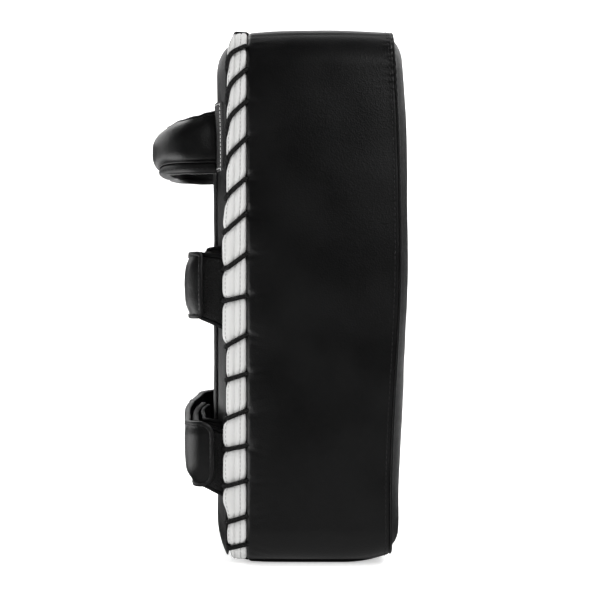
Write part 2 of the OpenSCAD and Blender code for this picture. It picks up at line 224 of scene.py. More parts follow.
def curve_through(points, step):
    """A smooth curve through points, with a point about every step millimetres."""
    p = np.concatenate([[2 * points[0] - points[1]], points, [2 * points[-1] - points[-2]]])
    out = []
    for k in range(1, len(p) - 2):
        n = max(2, int(np.linalg.norm(p[k + 1] - p[k]) / step))
        t = (np.arange(n) / n)[:, None]
        out.append(0.5 * (2 * p[k] + (p[k + 1] - p[k - 1]) * t
                          + (2 * p[k - 1] - 5 * p[k] + 4 * p[k + 1] - p[k + 2]) * t ** 2
                          + (3 * p[k] - p[k - 1] - 3 * p[k + 1] + p[k + 2]) * t ** 3))
    out.append(p[-2][None])
    return np.concatenate(out)


def stitch_mesh(places, along, normals, length=2.6, width=0.55, lift=0.12):
    """Short round stitches that lie on a surface."""
    along = unit_rows(along)
    normals = unit_rows(normals - along * np.sum(normals * along, 1)[:, None])
    side = np.cross(along, normals)
    ring_at = np.array([-0.5, -0.38, 0, 0.38, 0.5]) * length
    ring_r = np.array([0.45, 0.9, 1.0, 0.9, 0.45]) * width / 2
    ring_up = np.array([-0.45, -0.05, 0.1, -0.05, -0.45]) * width + lift
    a = np.arange(6) * math.pi / 3
    parts = []
    for c, t, n, b in zip(places, along, normals, side):
        rings = (c + ring_at[:, None, None] * t + ring_up[:, None, None] * n
                 + (ring_r[:, None] * np.cos(a))[:, :, None] * b
                 + (ring_r[:, None] * np.sin(a))[:, :, None] * n)
        parts.append(grid_mesh(rings, False, True, caps=True))
    return merged(parts)


def stitches_along(line, normals, pitch=4.2, **shape):
    """Stitches at a steady pitch along a line of points."""
    at = lengths(line)
    places = np.arange(pitch / 2, at[-1], pitch)
    along = sample(places + 0.5, at, line) - sample(places - 0.5, at, line) + 1e-9
    return stitch_mesh(sample(places, at, line), along, sample(places, at, normals), **shape)


# ---------- flat shapes ----------

EDGE_STEPS = (0, 0.25, 0.7, 1.4, 2.3, 3.4, 4.6, 6)


def edge_spaced(length, step, ends=(True, True)):
    """Places from 0 to length, close together near the ends that ask for it."""
    low = np.array(EDGE_STEPS if ends[0] else (0,), float)
    high = length - np.array(EDGE_STEPS if ends[1] else (0,), float)[::-1]
    n = max(2, int((high[0] - low[-1]) / step))
    return np.concatenate([low, np.linspace(low[-1], high[0], n + 1)[1:-1], high])


class Sheet:
    """A flat shape from 0 to length and from -width/2 to width/2, with some corners rounded.

    a and b are grids of places on it, and d is how far each lies from its bound edge."""

    def __init__(self, length, width, r_start, r_end, step, bound=(True, True)):
        self.length, self.width, self.bound = length, width, bound
        self.r = (r_start, r_end)
        a, b = np.meshgrid(edge_spaced(length, step, bound),
                           edge_spaced(width, step) - width / 2, indexing="ij")
        for r, at_end, reach, across, corner in self.corners(a, b):
            p, q = reach[corner] / r, across[corner] / r
            p2, q2 = p * np.sqrt(1 - q * q / 2), q * np.sqrt(1 - p * p / 2)
            a[corner] = (length - r + p2 * r) if at_end else (r - p2 * r)
            b[corner] = np.sign(b[corner]) * (width / 2 - r + q2 * r)
        d = width / 2 - np.abs(b)
        if bound[0]:
            d = np.minimum(d, a)
        if bound[1]:
            d = np.minimum(d, length - a)
        for r, _, reach, across, corner in self.corners(a, b):
            d = np.where(corner, r - np.hypot(reach, across), d)
        self.a, self.b, self.d = a, b, np.maximum(d, 0)

    def corners(self, a, b):
        """For each rounded end: its radius, and how far a and b reach into its corners."""
        for r, at_end in zip(self.r, (False, True)):
            if r > 0:
                reach = a - (self.length - r) if at_end else r - a
                across = np.abs(b) - (self.width / 2 - r)
                yield r, at_end, reach, across, (reach > 0) & (across > 0)

    def solid(self, top, bottom, warp):
        """A closed solid between two heights, bent into place by warp(a, b, t)."""
        n, m = self.a.shape
        faces_of = [grid_mesh(warp(self.a, self.b, np.broadcast_to(t, (n, m))),
                              u=self.a[:, m // 2], v=self.b[n // 2]) for t in (top, bottom)]
        points, faces, uvs = merged(faces_of)
        rim = ([i * m for i in range(n)] + [(n - 1) * m + j for j in range(1, m)]
               + [i * m + m - 1 for i in range(n - 2, -1, -1)] + list(range(m - 2, 0, -1)))
        for p, q in zip(rim, rim[1:] + rim[:1]):
            faces.append([p, q, q + n * m, p + n * m])
        return points, faces, np.concatenate([uvs, np.zeros((4 * len(rim), 2))])

    def edge_line(self, inset, step=2):
        """Places at a distance inside the edge, from the start round the bound end and back,
        with the direction that points outwards. An end that isn't bound leaves two lines."""
        w, length = self.width / 2, self.length
        r = max(self.r[1], inset + 0.01)
        n = max(2, int((length - r) / step))
        near = [(a, inset - w) for a in np.linspace(0, length - r, n)]
        back = [(a, w - inset) for a in np.linspace(length - r, 0, n)]
        sides = np.tile([0, 1.0], (n, 1))
        if not self.bound[1]:
            return [(np.array(near), -sides), (np.array(back), sides)]
        m = max(2, int(2 * (w - r) / step))
        end = np.linspace(r - w, w - r, m)[1:-1]
        k = np.linspace(0, math.pi / 2, 9)
        first = np.stack([np.sin(k), -np.cos(k)], -1)[1:]
        second = np.stack([np.cos(k), np.sin(k)], -1)
        places = [near, first * (r - inset) + (length - r, r - w),
                  np.stack([np.full_like(end, length - inset), end], -1),
                  second * (r - inset) + (length - r, w - r), back[1:]]
        outward = [-sides, first, np.tile([1.0, 0], (len(end), 1)), second, sides[1:]]
        return [(np.concatenate(places), np.concatenate(outward))]


# ---------- materials ----------

class Shader:
    """A principled material with its nodes at hand."""

    def __init__(self, name, color, rough, **constants):
        self.mat = bpy.data.materials.new(name)
        self.mat.use_nodes = True
        self.nodes = self.mat.node_tree.nodes
        self.links = self.mat.node_tree.links
        self.bsdf = self.nodes["Principled BSDF"]
        self.bsdf.inputs["Base Color"].default_value = (*color, 1)
        self.bsdf.inputs["Roughness"].default_value = rough
        for key, value in constants.items():
            self.bsdf.inputs[key.replace("_", " ")].default_value = value
        self.mat.diffuse_color = (*color, 1)

    def put(self, socket, value):
        if isinstance(value, bpy.types.NodeSocket):
            self.links.new(value, socket)
        else:
            socket.default_value = value

    def node(self, kind, **inputs):
        n = self.nodes.new(kind)
        for key, value in inputs.items():
            self.put(n.inputs[key.replace("_", " ")], value)
        return n

    def coords(self, which="Object"):
        return self.node("ShaderNodeTexCoord").outputs[which]

    def noise(self, scale, detail=3.0, rough=0.5):
        return self.node("ShaderNodeTexNoise", Scale=scale, Detail=detail, Roughness=rough,
                         Vector=self.coords()).outputs[0]

    def cells(self, scale):
        return self.node("ShaderNodeTexVoronoi", Scale=scale,
                         Vector=self.coords()).outputs["Distance"]

    def maths(self, operation, a, b=0.0):
        n = self.node("ShaderNodeMath")
        n.operation = operation
        self.put(n.inputs[0], a)
        self.put(n.inputs[1], b)
        return n.outputs[0]

    def plus(self, a, b, share):
        return self.maths("ADD", a, self.maths("MULTIPLY", b, share))

    def span(self, value, low, high, to_low=0.0, to_high=1.0):
        return self.node("ShaderNodeMapRange", Value=value, From_Min=low, From_Max=high,
                         To_Min=to_low, To_Max=to_high).outputs["Result"]

    def color_between(self, factor, a, b):
        n = self.node("ShaderNodeMix")
        n.data_type = "RGBA"
        # sockets 0, 6 and 7 are the colour mix's factor and its two colours, and output 2 its result
        for socket, value in ((0, factor), (6, (*a, 1)), (7, (*b, 1))):
            self.put(n.inputs[socket], value)
        self.put(self.bsdf.inputs["Base Color"], n.outputs[2])

    def tint(self, color, value, low, high, at_low, at_high):
        """The colour, times at_low where value is low and times at_high where it is high."""
        self.color_between(self.span(value, low, high),
                           [c * at_low for c in color], [c * at_high for c in color])

    def bump(self, height, strength, distance_mm):
        n = self.node("ShaderNodeBump", Strength=strength, Distance=distance_mm * MM, Height=height)
        self.put(self.bsdf.inputs["Normal"], n.outputs[0])


def vinyl(name, color, rough, grain=0.35, mottle=1.5, shine=0.5):
    """Coated leather: a fine pebbled grain, faint mottling, and gloss that varies a little."""
    s = Shader(name, color, rough, Specular_IOR_Level=shine)
    pebble = s.cells(780.0)
    pores = s.noise(2600.0, 2.0)
    patches = s.noise(22.0, 4.0)
    scuffs = s.noise(240.0, 3.0, 0.6)
    s.tint(color, patches, 0.35, 0.7, 1, mottle)
    gloss = s.maths("ADD", s.span(patches, 0.3, 0.7, rough - 0.07, rough + 0.07),
                    s.span(scuffs, 0.55, 0.8, 0.0, 0.08))
    s.put(s.bsdf.inputs["Roughness"], gloss)
    s.bump(s.plus(s.maths("MULTIPLY", pebble, 0.8), pores, 0.3), grain, 0.35)
    return s.mat


def thread(name, color):
    s = Shader(name, color, 0.65)
    fuzz = s.noise(1800.0)
    s.tint(color, fuzz, 0.3, 0.7, 0.75, 1)
    s.bump(fuzz, 0.5, 0.15)
    return s.mat


def braid(name, color):
    """A round braid: two sets of strands that cross, from the tube's own UVs, with painted shade
    darkening the hollows between the strands.
    """
    s = Shader(name, color, 0.7, Specular_IOR_Level=0.25)
    uv = s.node("ShaderNodeSeparateXYZ", Vector=s.coords("UV"))
    along, around = (s.maths("MULTIPLY", uv.outputs[k], 2100.0) for k in (0, 1))
    left, right = (s.maths("SINE", s.maths(way, along, around)) for way in ("ADD", "SUBTRACT"))
    weave = s.maths("MAXIMUM", left, right)
    # painted shade: the colour darkens where the weave is low, in the hollows between the strands
    s.tint(color, weave, -0.4, 1.0, 0.35, 1)
    s.bump(s.plus(weave, s.noise(2600.0, 2.0), 0.5), 0.8, 0.35)
    return s.mat


def pile(name, color, scale, strength, sheen):
    """Hook or loop tape: a dense pile that scatters light."""
    s = Shader(name, color, 0.9, Sheen_Weight=sheen, Specular_IOR_Level=0.12)
    tufts = s.cells(scale)
    fuzz = s.noise(scale * 2.2, 3.0, 0.7)
    s.tint(color, fuzz, 0.3, 0.75, 0.5, 1.6)
    s.bump(s.plus(tufts, fuzz, 0.8), strength, 0.6)
    return s.mat


def woven(name, color):
    """Plain webbing, with painted shade darkening the hollows of its weave."""
    s = Shader(name, color, 0.75)
    xyz = s.node("ShaderNodeSeparateXYZ", Vector=s.coords())
    over, under = (s.maths("SINE", s.maths("MULTIPLY", xyz.outputs[k], pitch))
                   for k, pitch in ((2, 4200.0), (1, 3600.0)))
    weave = s.maths("MAXIMUM", over, under)
    # painted shade: the colour darkens where the weave is low, where threads pass under
    s.tint(color, weave, -0.3, 1.0, 0.5, 1)
    s.bump(weave, 0.7, 0.3)
    return s.mat


def foam(name, color):
    s = Shader(name, color, 0.9)
    pores = s.cells(900.0)
    s.tint(color, pores, 0.1, 0.7, 1, 0.7)
    s.bump(pores, 0.6, 0.4)
    return s.mat


BLACK = (0.0014, 0.0014, 0.0016)
TRIM = (0.0016, 0.0016, 0.0018)
WHITE = (0.40, 0.40, 0.395)
# Each finish: how it is made, its colour, and the maker's other values in their order.
FINISHES = {
    "vinyl_black": (vinyl, BLACK, 0.40),
    "vinyl_trim": (vinyl, TRIM, 0.44, 0.25),
    "vinyl_white": (vinyl, WHITE, 0.46, 0.3, 0.93),
    "edge_matte": (vinyl, TRIM, 0.6, 0.5, 1.5, 0.16),
    "board": (vinyl, (0.05, 0.05, 0.055), 0.6, 0.1),
    "lining": (vinyl, (0.0032, 0.0032, 0.0032), 0.5, 0.5),
    "cord_black": (braid, (0.006, 0.006, 0.006)),
    "foam_firm": (foam, (0.10, 0.11, 0.13)),
    "foam_soft": (foam, (0.62, 0.58, 0.42)),
    "webbing": (woven, (0.022, 0.022, 0.022)),
    "hook_tape": (pile, (0.0035, 0.0035, 0.0035), 1100.0, 0.9, 0.0),
    "loop_tape": (pile, (0.0045, 0.0045, 0.0045), 650.0, 1.0, 0.02),
    "thread_black": (thread, (0.014, 0.014, 0.0145)),
    "thread_white": (thread, (0.50, 0.50, 0.49)),
    # painted shade: the rolls' stitches are white thread coloured darker grey for the shade along
    # their groove
    "thread_band": (thread, (0.20, 0.20, 0.197)),
}
MATERIALS = {name: make(name, *looks) for name, (make, *looks) in FINISHES.items()}


def piece(name, mesh, slot, replaced=(), finish=None, body="pad", join=None):
    """Makes a piece, gives it its finish and puts it on its body, or, for a piece with a join, bakes
    its placement in and leaves it unparented.
    """
    obj = add_mesh(name, *mesh)
    obj.data.materials.append(MATERIALS[finish or slot])
    if join:
        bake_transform(obj)
    else:
        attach(obj, body)
    if replaced:
        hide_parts(*replaced)
    return obj


# ---------- the pad's outline and its lacing ----------

class Outline:
    """A rounded rectangle, walked from the middle of its base towards +Y."""

    def __init__(self, w, h, r):
        self.r, self.mid = r, h / 2
        cy, cz = w / 2 - r, h / 2 - r
        arc = math.pi * r / 2
        runs = [cy, arc, 2 * cz, arc, 2 * cy, arc, 2 * cz, arc, cy]
        self.starts = np.concatenate([[0], np.cumsum(runs)])
        self.length = self.starts[-1]
        self.cz = cz
        self.centre_y = np.array([0, cy, cy, cy, cy, -cy, -cy, -cy, -cy])
        self.centre_z = np.array([-cz, -cz, -cz, cz, cz, cz, cz, -cz, -cz])

    def at(self, s):
        """Place and outward direction at distances s."""
        s = np.asarray(s, float) % self.length
        k = np.clip(np.searchsorted(self.starts, s, side="right") - 1, 0, 8)
        f = s - self.starts[k]
        turn = np.where(k % 2 == 1, f / self.r, 0)
        run = np.where(k % 2 == 0, f, 0)
        angle = -math.pi / 2 + math.pi / 2 * (k // 2) + turn
        ny, nz = np.cos(angle), np.sin(angle)
        y = self.centre_y[k] + self.r * ny - run * nz
        z = self.mid + self.centre_z[k] + self.r * nz + run * ny
        return y, z, ny, nz

    def on_near_side(self, z):
        """Distance along the outline of a height on the near (-Y) side."""
        over = z - self.mid - self.cz
        under = self.mid - self.cz - z
        if over > 0:
            return self.starts[6] - math.asin(min(over / self.r, 1)) * self.r
        if under > 0:
            return self.starts[7] + math.asin(min(under / self.r, 1)) * self.r
        return self.starts[6] - over

    def place(self, s, x, inset):
        """Points at distances s, at depth x and inset from the outline."""
        y, z, ny, nz = self.at(s)
        return spots(x, y - inset * ny, z - inset * nz)


OUTLINE = Outline(PAD_W, PAD_H, CORNER_R)


def all_round(step):
    """Distances round the outline at about a step, as a column, and as a row with the last one."""
    n = int(OUTLINE.length / step)
    row = np.arange(n + 1) * OUTLINE.length / n
    return row[:-1, None], row


# Lacing turns on the near side: height where the cord comes out at the wall, how far it has
# dropped where it reaches the back edge, and the share of that drop that comes at the very end.
NEAR_TURNS = ((388.3, 20, 0.55), (369, 24, 0.45), (345.4, 22, 0.38), (318, 19, 0.25),
              (288.4, 15, 0.12), (262.5, 14, 0.08), (232.1, 11, 0), (201.1, 3.5, 0),
              (172.2, 9, 0.1), (143.3, 4.7, 0), (116, 6.1, 0), (90.1, 3.1, 0), (64.2, 4.3, 0),
              (37.5, 4.5, 0), (15.3, 4.5, 0))
OTHER_TURNS = 27
OTHER_DROP = 9

turns = [(OUTLINE.on_near_side(z), drop, late) for z, drop, late in NEAR_TURNS]
first, last = turns[0][0], turns[-1][0]
rest = OUTLINE.length - (last - first)
for k in range(1, OTHER_TURNS + 1):
    turns.append((last + rest * k / (OTHER_TURNS + 1), OTHER_DROP, 0.1))
TURNS = sorted((s % OUTLINE.length, drop, late) for s, drop, late in turns)

ROLL_MEET = ROLL_FRONT - 8.8  # where the two rolled bindings touch
ROLL_ROUND, ROLL_DIP = 3.0, 2.4  # widths of a roll's rounded side and of its dip to the meeting line
HOLE_X = X_WALL + 1.2
CREST = 1.3  # inset of the bindings' crests
PINCHED = 3.7  # inset where the cord pulls them in
PINCH_REACH = 3.9
CORD_R = 1.75
CORD_INSET = PINCHED - CORD_R * 0.95
TOP_TUCK, BASE_TUCK = 6.6, 4.6  # how far the back roll is drawn in over the top and the base
WALL_LIFT, ROLL_LIFT = 0.8, 1.5  # how much the wall and the rolls stand up at the top
CORE_FRONT = 28.0  # the foam inside the wall ends here
CORE_COVER = 1.2  # deepest inset that still hides that foam


def cord_at(turn, across):
    """Distance along the outline where a turn of the cord lies, from 0 (wall side) to 1 (back)."""
    s, drop, late = turn
    t = unit(across)
    return s + drop * ((1 - late) * t + late * t ** 8)


def pinch(s, x):
    """1 under the cord, falling to 0 between two turns."""
    across = (ROLL_FRONT - x) / (ROLL_FRONT - ROLL_BACK)
    least = np.full(np.broadcast(s, x).shape, OUTLINE.length)
    for turn in TURNS:
        gap = np.abs(s - cord_at(turn, across)) % OUTLINE.length
        least = np.minimum(least, np.minimum(gap, OUTLINE.length - gap))
    return hump(least, PINCH_REACH)


def tuck(nz):
    """How far the back roll is drawn in where the outline faces up or down by nz."""
    return TOP_TUCK * unit(nz) ** 4 + BASE_TUCK * unit(-nz) ** 3


def base_press(nz):
    """How much deeper the cord is pressed into the rolls along the base."""
    return 1.6 * unit(-nz) ** 2


# ---------- side wall ----------

def seam_x(z):
    """Depth of the face seam: it leans back towards the top and more towards the bottom."""
    top = 5.8 * np.clip((z - 234) / 166, 0, None) ** 2
    bottom = 6.9 * smooth((234 - z) / 184)
    return WALL_HIGH[0] - top - bottom


def base_rise(x):
    """How far the base turns up towards the face."""
    return 7.0 * np.clip((x - 14) / 36, 0, None) ** 2.2


def wall_shape(s, x, seam):
    """Inset of the side wall's surface: a slightly crowned, uneven skin with a dimple at each hole."""
    _, z, ny, nz = OUTLINE.at(s)
    share = unit((x - X_WALL) / (seam - X_WALL))
    crown = 2.1 * (1 - (2 * share - 1) ** 2) - 0.7
    barrel = np.where(np.abs(ny) > 0.5, 1.1 * (1 - ((z - PAD_H / 2) / (PAD_H / 2)) ** 2) - 0.6, 0)
    spot = OUTLINE.place(s, x, 0)
    uneven = 0.24 * ripple(spot, 95, 3) + 0.10 * ripple(spot, 34, 5)
    dimples = np.zeros(np.broadcast(s, x).shape)
    for k, (hole, _, _) in enumerate(TURNS):
        ds = (s - hole + OUTLINE.length / 2) % OUTLINE.length - OUTLINE.length / 2
        dx = x - HOLE_X
        r2 = ds * ds + dx * dx
        dimples += 1.9 * np.exp(-r2 / 5.5) + 0.7 * np.exp(-r2 / 60)
        lean = ds + 0.35 * dx * math.sin(k * 2.1)
        dimples += 0.22 * np.cos(lean * 0.95 + k) * np.exp(-(lean / 9) ** 2 - (dx / 13) ** 2)
    resting = unit(-nz) ** 2
    skin = (-crown * 0.9 - uneven) * (1 - 0.9 * resting)
    return skin - barrel + dimples + base_rise(x) * resting - WALL_LIFT * unit(nz) ** 2


def make_wall():
    s, row = all_round(1.5)
    n = len(s)
    _, z, ny, _ = OUTLINE.at(s)
    seam = seam_x(z)
    # (distance from the rear edge or from the face seam, extra inset) where the wall turns in
    rear = np.array([(0.9, 7.5), (0.1, 5.5), (0.0, 3.9), (0.25, 2.5), (0.9, 1.2), (1.8, 0.45),
                     (2.8, 0.1)])
    front = np.array([(3.2, 0.0), (2.1, -0.15), (1.3, -0.1), (0.7, 0.35), (0.4, 1.1), (0.4, 2.4),
                      (0.8, 4.2)])
    middle = np.linspace(X_WALL + 4, seam[:, 0] - 6, 44, axis=1)
    x = np.concatenate([np.tile(X_WALL + rear[:, 0], (n, 1)), middle, seam - front[:, 0]], axis=1)
    turned_in = np.concatenate([rear[:, 1], np.zeros(middle.shape[1]), front[:, 1]])
    inset = wall_shape(s, x, seam)
    inset = np.where(x < CORE_FRONT, np.minimum(inset, CORE_COVER), inset) + turned_in
    # three more rows close the skin inside the pad
    one = np.ones((n, 1))
    x = np.concatenate([x, seam - 2.5, 0 * one, (X_WALL + 4) * one], axis=1)
    inset = np.concatenate([inset, inset[:, -1:] + 1, 3.5 * one, 8.5 * one], axis=1)
    near_top = unit(-ny) * smooth((z - 330) / 50)
    crinkle = 0.5 * np.sin(s * 1.15) * near_top * hump(x - seam, 5)
    points = OUTLINE.place(s, x, inset + crinkle)
    piece("side_wall", grid_mesh(points, True, True, row), "vinyl_black",
          ["side_gusset"])


# ---------- white rolled bindings ----------

# How far the back roll stands out to the rear along the near side, by height.
NEAR_SWELL = ((0, -1.4), (38, -1.2), (50, 1.8), (104, 1.8), (114, -0.4), (160, -0.6), (172, 2.2),
              (244, 2.4), (284, -0.7), (400, -1.2))


def make_roll(name, side, node, outer, stitch_at):
    """One rolled binding, from its free side to where the two meet. outer is the way the free
    side faces, and stitch_at the share of the width where its stitches run."""
    s, row = all_round(1.4)
    n = len(s)
    _, z, ny, nz = OUTLINE.at(s)
    width = abs(side - ROLL_MEET)
    rounded, dipping = ROLL_ROUND / width, ROLL_DIP / width
    w = np.concatenate([rounded * (1 - np.cos(np.linspace(0, math.pi / 2, 7))),
                        np.linspace(rounded, 1 - dipping, 8)[1:],
                        1 - dipping * (1 - np.linspace(0, 1, 6)[1:])])
    tight_side = pinch(s, np.full((n, 1), side))
    bulge = 0.2 - 0.9 * tight_side
    if outer < 0:
        bulge = bulge * 1.6 + unit(-ny) * keyed(z, NEAR_SWELL) * (1 - 0.3 * tight_side)
        bulge = bulge - tuck(nz)
    side_x = side + outer * bulge
    x = ROLL_MEET + outer * 0.04 + (side_x - ROLL_MEET) * (1 - w)[None, :]
    tight = pinch(s, x)
    spot = OUTLINE.place(s, x, 0)
    wrinkle = (0.20 * ripple(spot * [1, 2.0, 2.0], 15, 11) * (0.3 + tight)
               + 0.12 * ripple(spot * [4, 0.6, 0.6], 9, 12))
    rim = np.sqrt(unit(1 - (1 - unit(w / rounded)) ** 2))
    dip = 0.9 * smooth((w - (1 - dipping)) / dipping) ** 1.5
    line = 0.75 * hump((w - stitch_at) * width, 0.45)
    crest = CREST + (PINCHED - CREST) * tight + wrinkle
    inset = crest + (3.0 * (1 - rim) + dip + line)[None, :]
    lift = 2.0 * np.clip((-50 - x) / 24, 0, None) ** 2 * unit(-nz) ** 2
    inset = inset + lift + base_press(nz) * tight - ROLL_LIFT * unit(nz) ** 2
    mesh_x = np.concatenate([x[:, :1], x, x[:, -1:]], axis=1)
    mesh_inset = np.concatenate([inset[:, :1] + 6.5, inset, inset[:, -1:] + 8.5], axis=1)
    mesh = grid_mesh(OUTLINE.place(s, mesh_x, mesh_inset), True, True, row)
    piece(name, mesh, "vinyl_white", [node])
    k = int(np.argmin(np.abs(w - stitch_at)))
    path = OUTLINE.place(s, x[:, k:k + 1], inset[:, k:k + 1])[:, 0]
    normal = spots(0, ny, nz)[:, 0]
    # these stitches use the white thread darkened with painted shade
    stitches = stitches_along(looped(path), looped(normal), pitch=3.2, length=2.3, width=0.5,
                              lift=0.0)
    piece(name + "_stitches", stitches, "vinyl_white", finish="thread_band")


# ---------- lacing cord ----------

def make_lacing():
    places = []
    for k, turn in enumerate(TURNS):
        start = turn[0]
        after = TURNS[(k + 1) % len(TURNS)][0] + (OUTLINE.length if k == len(TURNS) - 1 else 0)
        end = float(cord_at(turn, 1.0))
        _, end_z, end_ny, end_nz = (float(value) for value in OUTLINE.at(end))
        pulled_in = float(tuck(end_nz))
        # out through the hole
        places += [(start - 0.4, X_WALL + 2.2, 6.4), (start - 0.1, X_WALL + 0.9, 3.3)]
        # across the two rolls
        for across in (0.05, 0.2, 0.4, 0.6, 0.78, 0.9):
            x = ROLL_FRONT + (ROLL_BACK + pulled_in - ROLL_FRONT) * across
            at = float(cord_at(turn, across))
            up = float(OUTLINE.at(at)[3])
            inset = CORD_INSET - ROLL_LIFT * max(0.0, up) ** 2 + float(base_press(up))
            places.append((at, x, inset))
        # over the back edge, and inside to the next hole
        swell = max(0.0, -end_ny) * 0.65 * float(keyed(end_z, NEAR_SWELL))
        edge = ROLL_BACK + 0.9 - swell + pulled_in
        places += [(end - 0.6, edge - 0.9, CORD_INSET + 1.6),
                   (end + 0.6, edge - 0.9, CORD_INSET + 5.0),
                   (end + 1.2, edge + 1.5, 13.0),
                   ((end + after) / 2, (ROLL_FRONT + ROLL_BACK) / 2, 15.0),
                   (after - 0.6, HOLE_X - 0.6, 11.0)]
    control = OUTLINE.place(*np.array(places).T)
    path = curve_through(looped(control), 1.3)[:-1]
    piece("lacing", tube_mesh(path, CORD_R), "cord_black", ["lacing_cord"])


# ---------- back cover and forearm cushion ----------

BACK_HALF_W = PAD_W / 2 - 4.2
BACK_BOTTOM, BACK_TOP = 5.5, PAD_H - 11  # the lacing covers more of it at the top
BACK_MID, BACK_HALF_H = (BACK_TOP + BACK_BOTTOM) / 2, (BACK_TOP - BACK_BOTTOM) / 2
BACK_R = CORNER_R - 4
CUSHION_TRIM = 5  # how much smaller the padded part is than the cushion with its welt


def back_depth(d, z):
    """How far the back cover stands behind its edge, at a distance inside that edge."""
    high = smooth((z - 310) / 60)
    reach, power = 46 - 18 * high, 2.9 + 0.4 * high
    return (X_EDGE - X_FLAT) * domed(d, reach, power)


def back_x(y, z):
    """Depth of the back cover's surface."""
    y, z = np.asarray(y, float), np.asarray(z, float)
    qy = np.abs(y) - (BACK_HALF_W - BACK_R)
    qz = np.abs(z - BACK_MID) - (BACK_HALF_H - BACK_R)
    d = BACK_R - np.hypot(np.maximum(qy, 0), np.maximum(qz, 0)) - np.minimum(np.maximum(qy, qz), 0)
    return X_EDGE - back_depth(np.maximum(d, 0), z)


def make_back():
    sheet = Sheet(2 * BACK_HALF_H, 2 * BACK_HALF_W, BACK_R, BACK_R, 4)
    uneven = 0.30 * ripple(spots(0, sheet.b, sheet.a), 60, 21) * smooth(sheet.d / 10)
    top = back_depth(sheet.d, sheet.a + BACK_BOTTOM) + uneven

    def warp(a, b, t):
        return spots(X_EDGE - t, b, a + BACK_BOTTOM)

    piece("back_panel", sheet.solid(top, -1.0, warp), "vinyl_black", ["back_cover"])


def make_cushion():
    width = CUSHION_HIGH[1] - CUSHION_LOW[1]
    height = CUSHION_HIGH[2] - CUSHION_LOW[2]
    middle = (CUSHION_HIGH[2] + CUSHION_LOW[2]) / 2
    rise = X_FLAT - X_CUSHION - 1.9
    sheet = Sheet(height - CUSHION_TRIM, width - CUSHION_TRIM, 20, 20, 3.5)

    def warp(a, b, t):
        return spots(X_FLAT + 0.6 - t, b, a + middle - (height - CUSHION_TRIM) / 2)

    spot = warp(sheet.a, sheet.b, 0)
    top = (rise + 0.6) * domed(sheet.d, 13, 2.4) + 0.9 * smooth(sheet.d / 60)
    top += (0.35 * ripple(spot, 55, 31) + 0.14 * ripple(spot, 18, 32)) * smooth(sheet.d / 8)
    pucker = 0.28 * np.sin((sheet.a + sheet.b * 0.7) * 0.9) * hump(sheet.d - 3, 3.5)
    piece("forearm_cushion", sheet.solid(top + pucker, -0.8, warp), "vinyl_black",
          ["forearm_cushion_cover", "forearm_cushion_foam"])
    ring = Outline(width - 2, height - 2, 22)
    y, z, ny, nz = ring.at(np.arange(0, ring.length, 2.2))
    z = z + middle - ring.mid
    piece("cushion_welt", tube_mesh(spots(X_FLAT - 0.4, y, z), 1.5), "vinyl_trim",
          ["forearm_cushion_piping"])
    line = spots(X_FLAT - 0.1, y + 3.6 * ny, z + 3.6 * nz)
    normal = np.tile([-1.0, 0, 0], (len(line), 1))
    piece("cushion_stitches", stitches_along(line, normal), "vinyl_trim",
          finish="thread_black")


# ---------- striking face ----------

FACE_INSET = 3.4
FACE_STITCH = 3.8  # from the seam to the line of stitches on the wall


def make_face():
    sheet = Sheet(PAD_H - 2 * FACE_INSET, PAD_W - 2 * FACE_INSET, CORNER_R - FACE_INSET,
                  CORNER_R - FACE_INSET, 4)

    def warp(a, b, t):
        z = a + FACE_INSET
        z = z + base_rise(seam_x(z)) * (1 - smooth(z / 60))
        return spots(seam_x(z) + t - 0.4, b, z)

    d = sheet.d
    spot = warp(sheet.a, sheet.b, 0) * [0, 1, 1]
    crown = 7.6 * domed(d, 17, 2.2) + 2.0 * smooth(d / 95)
    uneven = (0.5 * ripple(spot, 80, 41) + 0.12 * ripple(spot, 24, 42)) * smooth(d / 14)
    pucker = 0.30 * np.sin((sheet.a + sheet.b * 0.8) * 0.8) * hump(d - 4, 4)
    piece("striking_face", sheet.solid(crown + uneven + pucker, -2.0, warp), "vinyl_black",
          ["striking_face_cover", "impact_foam"])
    s = np.arange(0, OUTLINE.length, 1.6)
    _, z, ny, nz = OUTLINE.at(s)
    x = seam_x(z)
    lift = base_rise(x) * unit(-nz) ** 2
    crinkle = (0.2 + 0.3 * smooth((z - 320) / 60)) * np.sin(s * 1.1)
    path = OUTLINE.place(s, x + 0.3, 1.1 + lift + crinkle)
    piece("face_welt", tube_mesh(path, 1.1), "vinyl_trim", ["face_piping"])
    wall = OUTLINE.place(s, x - FACE_STITCH, wall_shape(s, x - FACE_STITCH, x))
    stitches = stitches_along(looped(wall), looped(spots(0, ny, nz)), pitch=4.0)
    piece("face_stitches", stitches, "vinyl_trim", finish="thread_black")


# ---------- paths seen from above ----------

